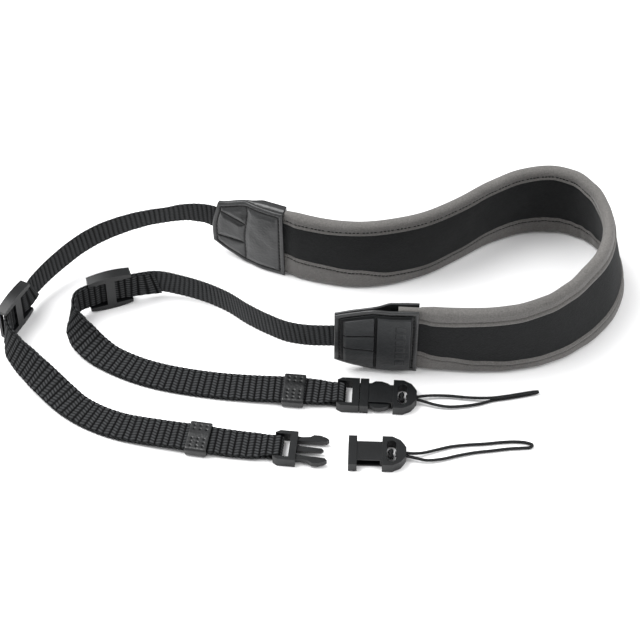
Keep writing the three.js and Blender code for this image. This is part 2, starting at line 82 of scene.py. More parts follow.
# ---------------------------------------------------------------- materials
class Nodes:
    """A small helper round one material's node tree."""

    def __init__(self, name):
        self.material = bpy.data.materials.new(name)
        self.material.use_nodes = True
        self.tree = self.material.node_tree
        self.shader = self.tree.nodes["Principled BSDF"]

    def add(self, kind, **values):
        node = self.tree.nodes.new(kind)
        for key, value in values.items():
            if key in node.inputs:
                node.inputs[key].default_value = value
            else:
                setattr(node, key, value)
        return node

    def link(self, a, b):
        self.tree.links.new(a, b)

    def position(self):
        return self.add("ShaderNodeTexCoord").outputs["Object"]

    def noise(self, scale, detail=3.0, rough=0.55):
        node = self.add("ShaderNodeTexNoise", Scale=scale, Detail=detail, Roughness=rough)
        self.link(self.position(), node.inputs["Vector"])
        return node.outputs["Fac"]

    def ramp(self, value, low, high, start=0.3, stop=0.7):
        node = self.add("ShaderNodeValToRGB")
        node.color_ramp.elements[0].position = start
        node.color_ramp.elements[1].position = stop
        node.color_ramp.elements[0].color = (*low, 1)
        node.color_ramp.elements[1].color = (*high, 1)
        self.link(value, node.inputs["Fac"])
        return node.outputs["Color"]

    def times(self, a, b):
        node = self.add("ShaderNodeMix", data_type="RGBA", blend_type="MULTIPLY")
        node.inputs[0].default_value = 1.0
        self.link(a, node.inputs[6])
        self.link(b, node.inputs[7])
        return node.outputs[2]

    def bump(self, height, strength, distance, before=None):
        node = self.add("ShaderNodeBump", Strength=strength, Distance=distance)
        self.link(height, node.inputs["Height"])
        if before is not None:
            self.link(before, node.inputs["Normal"])
        self.link(node.outputs["Normal"], self.shader.inputs["Normal"])
        return node.outputs["Normal"]

    def set(self, **values):
        for key, value in values.items():
            self.shader.inputs[key.replace("_", " ")].default_value = value


def gray(value, warm=0.0):
    return (value * (1 + warm), value, value * (1 - warm))


def knit_material(name, low, high, rib, sheen):
    """Knitted face of foam: fine loops as bump, a soft speckle and a faint sheen."""
    m = Nodes(name)
    m.set(Roughness=0.92, Sheen_Weight=sheen, Sheen_Roughness=0.45, Specular_IOR_Level=0.25)
    speckle = m.ramp(m.noise(1500, 4, 0.7), low, high, 0.32, 0.72)
    drift = m.ramp(m.noise(28, 3), gray(0.82), gray(1.08))
    m.link(m.times(speckle, drift), m.shader.inputs["Base Color"])
    cells = m.add("ShaderNodeTexVoronoi", Scale=rib)
    m.link(m.position(), cells.inputs["Vector"])
    first = m.bump(cells.outputs["Distance"], 0.35, 0.0004)
    m.bump(m.noise(420, 4), 0.2, 0.0006, first)
    return m.material


def leather_material(name, low, high, rough):
    """Grained hide; the mesh's relief paints shade into its colour where it is sunk, in seams, grooves and
    dimples, and turns its specular down there.
    """
    m = Nodes(name)
    m.set(Roughness=rough)
    relief_and_shade = m.add("ShaderNodeAttribute", attribute_name="relief_and_shade")
    # painted shade: the base colour is darkened down to 0.12 in the sunk seams, grooves and dimples, and the
    # specular is lowered there
    sunk_shade = m.ramp(relief_and_shade.outputs["Fac"], gray(0.12), gray(1.0), 0.1, 0.9)
    m.link(m.ramp(relief_and_shade.outputs["Fac"], gray(0.02), gray(0.5), 0.1, 0.9), m.shader.inputs["Specular IOR Level"])
    m.link(m.times(m.ramp(m.noise(90, 4), low, high), sunk_shade), m.shader.inputs["Base Color"])
    cells = m.add("ShaderNodeTexVoronoi", Scale=950, feature="SMOOTH_F1")
    m.link(m.position(), cells.inputs["Vector"])
    first = m.bump(cells.outputs["Distance"], 0.2, 0.0004)
    m.bump(m.noise(150, 4), 0.18, 0.001, first)
    return m.material


def plain_material(name, low, high, rough, grain, strength):
    m = Nodes(name)
    m.set(Roughness=rough, Specular_IOR_Level=0.3)
    m.link(m.ramp(m.noise(120, 3), low, high), m.shader.inputs["Base Color"])
    m.bump(m.noise(grain, 3), strength, 0.0003)
    return m.material


def woven_material(name, low, high, rough):
    """Yarn coloured by the relief that the mesh carries: painted shade between the yarns, painted light on their
    tops.
    """
    m = Nodes(name)
    m.set(Roughness=rough)
    relief_and_shade = m.add("ShaderNodeAttribute", attribute_name="relief_and_shade")
    m.link(m.ramp(relief_and_shade.outputs["Fac"], gray(0.04), gray(0.3), 0.1, 0.9), m.shader.inputs["Specular IOR Level"])
    # painted shade and light: the base colour is dark between the yarns and light on the yarn tops
    base = m.ramp(relief_and_shade.outputs["Fac"], low, high, 0.1, 0.95)
    m.link(m.times(base, m.ramp(m.noise(1300, 3), gray(0.75), gray(1.15))), m.shader.inputs["Base Color"])
    m.bump(m.noise(2600, 3), 0.35, 0.0003)
    return m.material


LOOKS = {
    "jersey": knit_material("jersey", gray(0.004, -0.08), gray(0.011, -0.08), 1900, 0.04),
    "border": knit_material("border", gray(0.088, 0.04), gray(0.15, 0.04), 2100, 0.18),
    "leather": leather_material("leather", gray(0.010, -0.05), gray(0.021, -0.05), 0.34),
    "label": leather_material("label", gray(0.011, -0.12), gray(0.016, -0.12), 0.45),
    "webbing": woven_material("webbing", gray(0.003, -0.05), gray(0.040, -0.05), 0.8),
    "plastic": plain_material("plastic", gray(0.004, -0.1), gray(0.008, -0.1), 0.36, 1600, 0.2),
    "cord": woven_material("cord", gray(0.002, -0.06), gray(0.013, -0.06), 0.75),
    "thread": plain_material("thread", gray(0.006), gray(0.012), 0.75, 3000, 0.4),
}


# ---------------------------------------------------------------- meshes
def make_object(name, vertices, faces, look, nodes=(), relief_and_shade=None):
    mesh = bpy.data.meshes.new(name)
    mesh.from_pydata([tuple(v) for v in vertices], [], faces)
    mesh.validate()
    # this per-point attribute paints shade into the colour through the materials
    if relief_and_shade is not None:
        layer = mesh.attributes.new("relief_and_shade", "FLOAT", "POINT")
        layer.data.foreach_set("value", np.asarray(relief_and_shade, np.float32))
    mesh.materials.append(LOOKS[look])
    mesh.polygons.foreach_set("use_smooth", [True] * len(mesh.polygons))
    obj = bpy.data.objects.new(name, mesh)
    scene.collection.objects.link(obj)
    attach(obj, "root")
    if nodes:
        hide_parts(*nodes)
    return obj


def tube_of_rings(name, rings, look, nodes=(), relief_and_shade=None):
    """rings: R x C x 3 points in the working frame, each ring closed, both ends capped."""
    rings = np.asarray(rings, float)
    count, around, _ = rings.shape
    flat = place(rings.reshape(-1, 3))
    index = np.arange(count * around).reshape(count, around)
    a, b = index[:-1], np.roll(index, -1, axis=1)[:-1]
    c, d = np.roll(index, -1, axis=1)[1:], index[1:]
    quads = np.stack([a, b, c, d], -1).reshape(-1, 4)
    p = flat[quads]
    cross = np.cross(p[:, 2] - p[:, 0], p[:, 3] - p[:, 1])
    volume = np.einsum("ij,ij->i", p.mean(1), cross).sum()
    ends = [list(index[0][::-1]), list(index[-1])]
    faces = quads.tolist() + ends
    if volume < 0:
        faces = [list(reversed(f)) for f in faces]
    values = None if relief_and_shade is None else np.asarray(relief_and_shade).reshape(-1)
    return make_object(name, flat, faces, look, nodes, values)


def spline(points, t):
    """Centripetal Catmull-Rom through the points, at t from 0 to len - 1."""
    points = np.asarray(points, float)
    n = len(points)
    padded = np.vstack([2 * points[0] - points[1], points, 2 * points[-1] - points[-2]])
    i = np.minimum(t.astype(int), n - 2)
    w = (t - i)[:, None]
    p0, p1, p2, p3 = padded[i], padded[i + 1], padded[i + 2], padded[i + 3]
    d0, d1, d2 = (np.sqrt(np.linalg.norm(b - a, axis=1))[:, None] for a, b in ((p0, p1), (p1, p2), (p2, p3)))
    t1 = ((p1 - p0) / d0 - (p2 - p0) / (d0 + d1) + (p2 - p1) / d1) * d1
    t2 = ((p2 - p1) / d1 - (p3 - p1) / (d1 + d2) + (p3 - p2) / d2) * d1
    return p1 + t1 * w + (-3 * p1 + 3 * p2 - 2 * t1 - t2) * w**2 + (2 * p1 - 2 * p2 + t1 + t2) * w**3


def sample(rows, step, columns):
    """Even samples of a table of rows (x, y, z, then columns): points, distances and columns."""
    rows = np.asarray(rows, float)
    fine = np.linspace(0, len(rows) - 1, len(rows) * 80)
    along = spline(rows[:, :3], fine)
    run = np.concatenate([[0], np.cumsum(np.linalg.norm(np.diff(along, axis=0), axis=1))])
    count = int(round(run[-1] / step))
    s = np.linspace(0, run[-1], count + 1)
    t = np.interp(s, run, fine)
    i = np.minimum(t.astype(int), len(rows) - 2)
    f = t - i
    f = (f * f * (3 - 2 * f))[:, None]
    extra = rows[i, 3:] * (1 - f) + rows[i + 1, 3:] * f
    return spline(rows[:, :3], t), s, dict(zip(columns, extra.T))


def unit(v):
    return v / np.linalg.norm(v, axis=-1, keepdims=True)


def frames(points, tilt, side):
    """t along, v across and n towards the loop's inside, for a strip tilted by tilt degrees."""
    t = unit(np.gradient(points, axis=0))
    up = np.array([0, 0, 1.0])
    v0 = unit(up - t * (t @ up)[:, None])
    n0 = np.cross(v0, t) * side
    a = np.radians(tilt)[:, None]
    return t, v0 * np.cos(a) + n0 * np.sin(a), n0 * np.cos(a) - v0 * np.sin(a)


def smooth(x):
    x = np.clip(x, 0, 1)
    return x * x * (3 - 2 * x)


def hump(x, width):
    return np.exp(-((x / width) ** 2))


# ---------------------------------------------------------------- cord loops (made first)
FRONT_CORD = [
    (36.1, -43.5, 2.4), (40.6, -43.8, 2.4), (43.5, -43.2, 2.1), (47.8, -42.6, 1.7), (54, -42.6, 1.5),
    (61, -43.4, 1.5), (67, -44.0, 1.8), (72.5, -44.0, 2.0), (78, -43.2, 2.0), (84, -42.0, 2.0),
    (88.6, -41.0, 1.9), (91.0, -40.5, 1.7), (91.9, -40.3, 1.3), (91.0, -40.6, 0.9), (88.4, -41.2, 0.65),
    (84, -42.2, 0.65), (78, -43.4, 0.65), (72.5, -44.4, 0.65), (67, -46.2, 0.7), (61, -47.5, 1.0),
    (54, -48.2, 1.3), (48.4, -47.5, 1.7), (43.6, -46.1, 2.1), (40.6, -45.3, 2.4), (36.1, -45.0, 2.4),
]
BACK_CORD = [
    (30.9, -72.9, 2.4), (35.5, -73.1, 2.4), (38.4, -73.0, 2.0), (42.5, -72.2, 1.4), (48, -70.4, 1.0),
    (54, -68.6, 0.8), (61, -67.6, 0.7), (68, -67.1, 0.7), (75, -66.3, 0.7), (81, -66.0, 0.7),
    (85.6, -66.6, 0.7), (87.7, -67.7, 0.7), (87.0, -68.8, 0.7), (83.6, -69.2, 0.7), (78, -69.6, 0.7),
    (71, -70.6, 0.7), (64, -71.5, 0.7), (57, -73.1, 0.8), (50, -75.1, 1.0), (43.6, -76.0, 1.4),
    (39.2, -75.3, 2.0), (35.5, -74.6, 2.4), (30.9, -74.4, 2.4),
]


def braid_tube(points, radius, around=18, step=0.28):
    """Rings of a braided cord: two crossing families of yarns stand out of it."""
    line, s, _ = sample(np.column_stack([points]), step, [])
    t, v, n = frames(line, np.zeros(len(line)), 1)
    a = np.linspace(0, 2 * np.pi, around, endpoint=False)[None, :]
    phase = s[:, None] * 2 * np.pi / 1.9
    # the yarn relief also goes to the cord colour as painted shade between the crossing yarns
    relief_and_shade = 0.5 + 0.5 * np.maximum(np.cos(4 * a + phase), np.cos(4 * a - phase))
    r = radius * (0.93 + 0.09 * relief_and_shade)
    ring = line[:, None] + r[..., None] * (
        np.cos(a)[..., None] * v[:, None] + np.sin(a)[..., None] * n[:, None])
    return ring, relief_and_shade, line, s[-1]


def add_cord_loop(name, points, knot):
    rings, relief_and_shade, line, length = braid_tube(points, CORD / 2)
    loop = tube_of_rings(f"cord_loop_{name}_braid", rings, "cord", [f"cord_loop_{name}"], relief_and_shade=relief_and_shade)
    angles = np.linspace(0, 2 * np.pi, 40)
    path = np.column_stack([
        0.6 * np.sin(2 * angles), 1.7 * np.cos(angles), 0.6 * np.sin(3 * angles)]) + np.asarray(knot)
    knot_rings, knot_relief_and_shade, _, _ = braid_tube(path, 0.7, 12, 0.25)
    tied = tube_of_rings(f"cord_knot_{name}_tied", knot_rings, "cord", [f"cord_knot_{name}"],
                         relief_and_shade=knot_relief_and_shade)


add_cord_loop("front", FRONT_CORD, (34.2, -44.2, 2.4))
add_cord_loop("back", BACK_CORD, (29.0, -73.6, 2.4))

# ---------------------------------------------------------------- neck band
# x, y of the centre line at mid height, lean of the top edge into the loop, border heights
BAND = [
    (-46.5, 43.0, 0, 7, 14), (-32.0, 35.4, 1, 7, 14), (-16.0, 28.2, 2, 7, 14), (0.0, 22.8, 2, 6.5, 13.5),
    (16.0, 20.4, 1, 6, 12), (31.0, 22.0, 1, 6, 9), (46.0, 26.8, 2, 6, 8), (60.0, 35.0, 3, 6, 9),
    (74.0, 44.8, 2.5, 6, 10), (88.0, 51.5, 1, 6, 10.5), (101.0, 53.4, 0, 6, 10.5),
    (111.5, 51.0, 3, 6.5, 10), (120.0, 44.0, 8, 7, 10), (125.8, 33.0, 12, 7.5, 9.5),
    (127.0, 18.0, 13, 8, 9), (122.8, 4.0, 12, 8, 8.5), (115.0, -6.8, 11, 8, 8),
    (105.5, -15.8, 7, 8, 7.5), (94.5, -22.4, 3, 8, 7.5), (81.0, -26.4, 0, 8.5, 7.5),
    (67.0, -27.7, -2, 8.5, 8.5), (53.0, -27.3, -3, 9, 10.5), (40.5, -26.4, -3, 9, 12.5),
    (23.0, -25.8, -2, 9, 12.5), (6.0, -25.2, 0, 9, 12.5),
]
HALF = PAD_HEIGHT / 2
band_rows = [(x, y, 0, lean, top, low) for x, y, lean, top, low in BAND]
band, band_s, band_c = sample(band_rows, 0.8, ["lean", "top", "low"])
lean = np.radians(band_c["lean"])
band[:, 2] = HALF * np.cos(lean) + PAD_THICK / 2 * np.abs(np.sin(lean))
band_t, band_v, band_n = frames(band, band_c["lean"], -1)
BAND_LENGTH = band_s[-1]
from_end = np.minimum(band_s, BAND_LENGTH - band_s)
inside = from_end >= TAB_LENGTH - TAB_LAP
half_thick = (PAD_END_THICK + (PAD_THICK - PAD_END_THICK) * smooth((from_end - TAB_LENGTH - 0.5) / 6)) / 2


def band_rings(profile):
    """profile(i) gives [v, n] points round the section at band sample i."""
    rings = []
    for i in np.flatnonzero(inside):
        points = np.asarray(profile(i))
        rings.append(band[i] + points[:, :1] * band_v[i] + points[:, 1:] * band_n[i])
    return rings


def puff(i, v):
    """Slow unevenness of the soft foam, and small puckers along the lower border at the bend."""
    s = band_s[i]
    slow = 0.10 * np.sin(s / 13.0 + v * 0.15) + 0.07 * np.sin(s / 5.3 + 1.0 - v * 0.3)
    pucker = 0.22 * np.sin(s / 0.95 + 0.5 * np.sin(s / 3.1)) * hump(s - 178, 26) * smooth((-v - 8) / 4)
    return slow + pucker


def core_profile(i):
    t = half_thick[i] - 0.35
    low, high = -HALF + band_c["low"][i] - 1.0, HALF - band_c["top"][i] + 1.0
    v = np.linspace(low, high, 26)
    crown = 0.25 * (1 - ((v - low) / (high - low) * 2 - 1) ** 2)
    inner = np.column_stack([v, t + crown + puff(i, v)])
    outer = np.column_stack([v[::-1], -(t + crown[::-1]) + 0.5 * puff(i, v[::-1])])
    return np.vstack([inner, outer])


def border_profile(i, upper):
    """A wrapped edge: u runs from the seam beside the dark middle to the rounded rim."""
    t = half_thick[i]
    height = band_c["top"][i] if upper else band_c["low"][i]
    sewn_in = 2.4 if upper and band_s[i] < TAB_LENGTH else 0.5      # inside a tab's leather
    reach = height - (sewn_in if from_end[i] < TAB_LENGTH + 1 else 0.0)
    u = np.linspace(0, reach - t, 34)
    lip = 0.35 * (1 - smooth(u / 0.7))
    v_abs = (HALF - height + u) if upper else -(HALF - height + u)
    wave = puff(i, v_abs)
    face = t - lip + wave * smooth(u / 2)
    inner = face + 0.30 * hump(u - 0.95, 0.5) - 0.42 * hump(u - 2.2, 0.45)
    outer = -(t - lip) + 0.5 * wave * smooth(u / 2) - 0.30 * hump(u - 1.3, 0.8) + 0.60 * hump(u - 2.8, 0.42)
    a = np.linspace(math.pi / 2, -math.pi / 2, 15)[1:-1]
    rim = np.column_stack([reach - t + t * np.cos(a), t * np.sin(a) + wave[-1] * 0.5])
    points = np.vstack([
        np.column_stack([u, inner]), rim, np.column_stack([u[::-1], outer[::-1]])])
    points[:, 0] = (HALF - height + points[:, 0]) * (1 if upper else -1)
    return points


core = tube_of_rings("pad_core_knit", band_rings(core_profile), "jersey", ["pad_core"])
upper = tube_of_rings("pad_border_top", band_rings(lambda i: border_profile(i, True)), "border",
                      ["pad_border_upper"])
lower = tube_of_rings("pad_border_base", band_rings(lambda i: border_profile(i, False)), "border",
                      ["pad_border_lower"])


def stitches(name, centres, along, out, length, width, height, look="thread"):
    """Short sunk stitches, one small ellipsoid each."""
    rings_n, around = 5, 6
    vertices, faces = [], []
    side = np.cross(along, out)
    for c, t, n, w in zip(centres, along, out, side):
        base = len(vertices)
        for k in range(rings_n):
            x = math.cos(math.pi * (k + 0.5) / rings_n)
            r = math.sin(math.pi * (k + 0.5) / rings_n) ** 0.5
            for j in range(around):
                a = 2 * math.pi * j / around
                vertices.append(c + t * x * length / 2 + w * math.cos(a) * r * width / 2
                                + n * math.sin(a) * r * height / 2)
        for k in range(rings_n - 1):
            for j in range(around):
                p, q = base + k * around + j, base + k * around + (j + 1) % around
                faces.append([p, q, q + around, p + around])
        faces.append([base + j for j in range(around)][::-1])
        faces.append([base + (rings_n - 1) * around + j for j in range(around)])
    return make_object(name, place(vertices), faces, look)


def band_stitches(name, upper_side, offset, pitch, share, width):
    picks = np.arange(TAB_LENGTH + 1.5, BAND_LENGTH - TAB_LENGTH - 1.5, pitch)
    ids = np.searchsorted(band_s, picks)
    height = band_c["top"] if upper_side else band_c["low"]
    sign = 1 if upper_side else -1
    v = sign * (HALF - height[ids] + offset)
    n = half_thick[ids] - 0.30 + np.array([puff(i, x) for i, x in zip(ids, v)])
    centres = band[ids] + v[:, None] * band_v[ids] + n[:, None] * band_n[ids]
    stitches(name, centres, band_t[ids], band_n[ids], pitch * share, width, 0.5)


band_stitches("pad_stitches_top", True, 2.2, 1.8, 0.6, 0.85)
band_stitches("pad_stitches_base", False, 2.2, 1.6, 0.9, 0.5)

# ---------------------------------------------------------------- end tabs
TAB_OUTLINE = [(0, 14.5, 13.5), (8, 17.0, 17.5), (16, 19.4, 20.0), (TAB_LENGTH, 20.2, 20.2)]
tab_d, tab_up, tab_down = (np.array(c) for c in zip(*TAB_OUTLINE))


class Tab:
    """Frames along one end tab: d is the distance from its webbing end.

    The back tab's webbing end is cut on a slant. The layer away from the viewer is drawn in to
    meet the nearer one above and below the webbing, fully on the back tab, less on the front one.
    """

    def __init__(self, at_start, step):
        d = np.arange(0, TAB_LENGTH + 1e-6, step)
        s = d if at_start else BAND_LENGTH - d
        pick = lambda a: np.column_stack([np.interp(s, band_s, a[:, k]) for k in range(3)])
        self.d, self.p = d, pick(band)
        self.t, self.v, self.n = unit(pick(band_t)), unit(pick(band_v)), unit(pick(band_n))
        self.up, self.down = np.interp(d, tab_d, tab_up), np.interp(d, tab_d, tab_down)
        self.slant = 3.2 if at_start else 0.0
        self.sealed = at_start
        self.close = {1: 0.2, -1: 1.8} if at_start else {1: 1.5, -1: 0.15}
        if at_start:
            self.up = self.up - 2.9 * smooth(1 - d / 17)
        self.forward = unit(np.gradient(self.p, axis=0))
        start, end = WEB_THICK / 2 + GAP + 0.2 + LEATHER / 2, PAD_END_THICK / 2 + GAP + LEATHER / 2
        self.layer = start + (end - start) * smooth((d - 12) / 12)

    def depth(self, i, v, sign):
        """Middle of the leather layer on one side."""
        meet = self.close[sign] * smooth((np.abs(v) - 7.5) / 4) * (1 - smooth((self.d[i] - 15) / 9))
        return self.layer[i] + meet * (LEATHER / 2 + 0.03 - self.layer[i])

    def at(self, i, v, n):
        v, n = np.asarray(v)[:, None], np.asarray(n)[:, None]
        slant = self.slant * smooth((v + 4) / 18) * (1 - np.atleast_1d(self.d[i])[:, None] / TAB_LENGTH)
        return self.p[i] + v * self.v[i] + n * self.n[i] + slant * self.forward[i]


def segment_distance(d, v, a, b):
    a, b = np.array(a, float), np.array(b, float)
    ab = b - a
    f = np.clip(((d - a[0]) * ab[0] + (v - a[1]) * ab[1]) / (ab @ ab), 0, 1)
    return np.hypot(d - a[0] - f * ab[0], v - a[1] - f * ab[1])


SEAM_LINES = [((2.4, 7.5), (15.6, 5.2)), ((2.4, -8.5), (15.6, -7.0))]   # the webbing's box stitch
CROSS_LINE = 16.2


def leather_relief(d, v, up, down, seams):
    """Height of a leather face: thinner at its edges, sunk seams, soft creases."""
    edge = np.minimum(np.minimum(up - v, v + down), np.minimum(d + 0.2, TAB_LENGTH + 0.2 - d))
    seam = np.abs(edge - 2.3)
    if seams:
        seam = np.minimum(seam, np.where(edge > 2, np.abs(d - CROSS_LINE), 9.0))
        for a, b in SEAM_LINES:
            seam = np.minimum(seam, segment_distance(d, v, a, b))
    puffed = 0.5 * smooth(seam / 3.2) * smooth((edge - 2.0) / 1.0)
    creases = 0.12 * np.sin(d * 0.50 + 1.3 * np.sin(v * 0.21)) * np.sin(v * 0.30 + 1) * smooth(seam / 2)
    return puffed + creases - 0.35 * (1 - smooth(edge / 0.9)) - 0.38 * hump(seam, 0.55), seam


def add_leather(name, tab, sign, nodes, seams):
    rings, shade_reliefs = [], []
    for i, d in enumerate(tab.d):
        v = np.linspace(-tab.down[i], tab.up[i], 110)
        h, seam = leather_relief(d, v, tab.up[i], tab.down[i], seams)
        middle = tab.depth(i, v, sign)
        outside, hidden = middle + LEATHER / 2 + np.maximum(h, -0.75), middle - LEATHER / 2
        if tab.sealed and sign < 0:       # its top edge is turned over to the other layer
            turned = LEATHER / 2 - tab.depth(i, v, 1) + 0.05
            hidden = hidden + (turned - hidden) * smooth((v - tab.up[i] + 1.9) / 0.4)
        rings.append(tab.at(i, np.concatenate([v, v[::-1]]),
                            sign * np.concatenate([outside, hidden[::-1]])))
        # painted shade: the outer face is darker along its sunk seams
        shade_reliefs.append(np.concatenate([0.3 + 0.7 * smooth(seam / 0.9), np.ones(len(v))]))
    return tube_of_rings(name, rings, "leather", nodes, relief_and_shade=shade_reliefs)


def outline_points(tab, inset, pitch):
    """Evenly spaced (d, v, direction) along a line inset from the tab's edges."""
    d0, d1 = inset, TAB_LENGTH - inset
    d = np.linspace(d0, d1, 60)
    top = np.column_stack([d, np.interp(d, tab.d, tab.up) - inset])
    base = np.column_stack([d, -(np.interp(d, tab.d, tab.down) - inset)])
    loop = np.vstack([top, base[::-1], top[:1]])
    run = np.concatenate([[0], np.cumsum(np.linalg.norm(np.diff(loop, axis=0), axis=1))])
    s = np.arange(0, run[-1], pitch)
    return np.column_stack([np.interp(s, run, loop[:, k]) for k in range(2)]), \
        np.column_stack([np.interp(s + 0.3, run, loop[:, k]) - np.interp(s, run, loop[:, k]) for k in range(2)])


def tab_stitches(name, tab, sign, seams):
    spots, heads = outline_points(tab, 2.3, 2.3)
    lines = ([((CROSS_LINE, -16.5), (CROSS_LINE, 16.5))] + SEAM_LINES) if seams else []
    for a, b in lines:
        a, b = np.array(a), np.array(b)
        count = int(np.linalg.norm(b - a) / 2.3)
        f = (np.arange(count) + 0.5)[:, None] / count
        spots = np.vstack([spots, a + (b - a) * f])
        heads = np.vstack([heads, np.repeat([(b - a)], count, axis=0)])
    i = np.clip(np.searchsorted(tab.d, spots[:, 0]), 0, len(tab.d) - 1)
    h = np.array([leather_relief(d, v, tab.up[k], tab.down[k], seams)[0]
                  for (d, v), k in zip(spots, i)])
    centres = tab.at(i, spots[:, 1], sign * (tab.depth(i, spots[:, 1], sign) + LEATHER / 2 + h + 0.08))
    along = unit(heads[:, :1] * tab.forward[i] + heads[:, 1:] * tab.v[i])
    stitches(name, centres, along, sign * tab.n[i], 1.6, 0.55, 0.45)


def label_relief(d, v, up, down):
    """Moulded label: one raised panel beside the band, three raised ribs beside the webbing."""
    w = (v + down - 2) / (up + down - 4)          # 0 to 1 across the label
    reach = (up + down - 4)

    def box(d0, d1, w0, w1, soft=0.4):
        e = np.minimum(np.minimum(d - d0, d1 - d), np.minimum(w - w0, w1 - w) * reach)
        return smooth(e / soft + 0.5)

    pads = box(17.8, 31.9, 0.03, 0.97)
    for w0, w1 in ((0.04, 0.345), (0.375, 0.625), (0.655, 0.96)):
        pads = pads + box(4.0, 16.6, w0, w1) * (1 if d > 4.4 else 0.6)
    blocks = sum(box(25.6, 29.4, 0.12 + 0.13 * k, 0.205 + 0.13 * k, 0.3) for k in range(6))
    edge = np.minimum(np.minimum(up - 2 - v, v + down - 2), np.minimum(d - 2.5, 32.5 - d))
    h = 0.35 + 0.95 * pads + 0.28 * blocks - 0.5 * (1 - smooth(edge / 0.6))
    # painted shade: the colour is darker off the raised panels and ribs and round the edges of the small blocks
    rim = 1 - 0.9 * hump(blocks - 0.5, 0.4)
    return np.maximum(h, 0.1), np.clip(0.35 + 0.65 * pads, 0, 1) * rim


def add_label(name, tab, nodes):
    rings, shade_reliefs = [], []
    for i, d in enumerate(tab.d):
        if not 2.5 <= d <= 32.5:
            continue
        v = np.linspace(-tab.down[i] + 2, tab.up[i] - 2, 170)
        h, pads = label_relief(d, v, tab.up[i], tab.down[i])
        base = tab.depth(i, v, -1) + LEATHER / 2 + GAP - 0.25
        rings.append(tab.at(i, np.concatenate([v, v[::-1]]),
                            -np.concatenate([base + 0.25 + h, base[::-1]])))
        shade_reliefs.append(np.concatenate([pads, np.ones(len(v))]))
    return tube_of_rings(name, rings, "label", nodes, relief_and_shade=shade_reliefs)


for end, at_start in (("back", True), ("front", False)):
    tab = Tab(at_start, 0.33)
    add_leather(f"tab_{end}_inner_hide", tab, 1, [f"tab_{end}_inner_leather"], True)
    add_leather(f"tab_{end}_outer_hide", tab, -1, [f"tab_{end}_outer_leather"], False)
    tab_stitches(f"tab_{end}_inner_stitches", tab, 1, True)
    tab_stitches(f"tab_{end}_outer_stitches", tab, -1, False)
    add_label(f"tab_{end}_moulded_label", Tab(at_start, 0.2), [f"tab_{end}_label"])

# ---------------------------------------------------------------- webbing
# x, y, z, tilt, shift, half, width: as in the CAD source
FRONT_ROUTE = [
    (16, -25.55, 20.2, -1, 0, 0, 13), (11, -25.4, 20.2, 0, 0, 0, 13), (5.4, -25.2, 20.2, 0, 0, 0, 13),
    (-4, -24.4, 19.2, 0, 0, 0.3, 13), (-13.5, -21.5, 17.5, 0, 0, 0.65, 13),
    (-22.5, -15.3, 15.3, 0, 0, 0.65, 13), (-31, -7.6, 12.6, 0, 0, 0.65, 13),
    (-40.5, 2.8, 8.8, 0, 0, 0.65, 13), (-50, 9.4, 7.2, 0, 0, 0.65, 13),
    (-61, 13.2, 7.6, 0, 0, 0.65, 13), (-71, 14.3, 9.0, 0, 0, 0.65, 13),
    (-82.6, 11.9, 10, 0, 0.55, 0.65, 13), (-91, 9.1, 10, 0, -0.55, 0.65, 13),
    (-99.4, 6.3, 10, 0, 0.55, 0.65, 13), (-104.6, 2.2, 9.8, 2, 0, 0.65, 13),
    (-106.3, -3.6, 8.8, 12, 0, 0.65, 13), (-104.2, -9.6, 6.8, 34, 0, 0.65, 13),
    (-100.2, -14.6, 4.8, 58, 0, 0.65, 13), (-95.2, -18.8, 2.8, 80, 0, 0.65, 13),
    (-89.5, -22.5, 1.6, 90, 0, 0.65, 13), (-78, -28.4, 1.25, 90, 0, 0.65, 13),
    (-65, -32.8, 1.25, 90, 0, 0.65, 13), (-45, -36.8, 1.3, 90, 0, 0.65, 13),
    (-29, -38.8, 1.8, 90, 0, 0.65, 13), (-11, -40.4, 2.6, 90, 0, 0.65, 13),
    (-2, -41.4, 2.6, 90, 0, 0.65, 12.6), (4.4, -42.2, 2.5, 90, 0, 1.3, 10.4),
    (8.7, -42.5, 2.4, 90, 0, 1.75, 10.0),
]
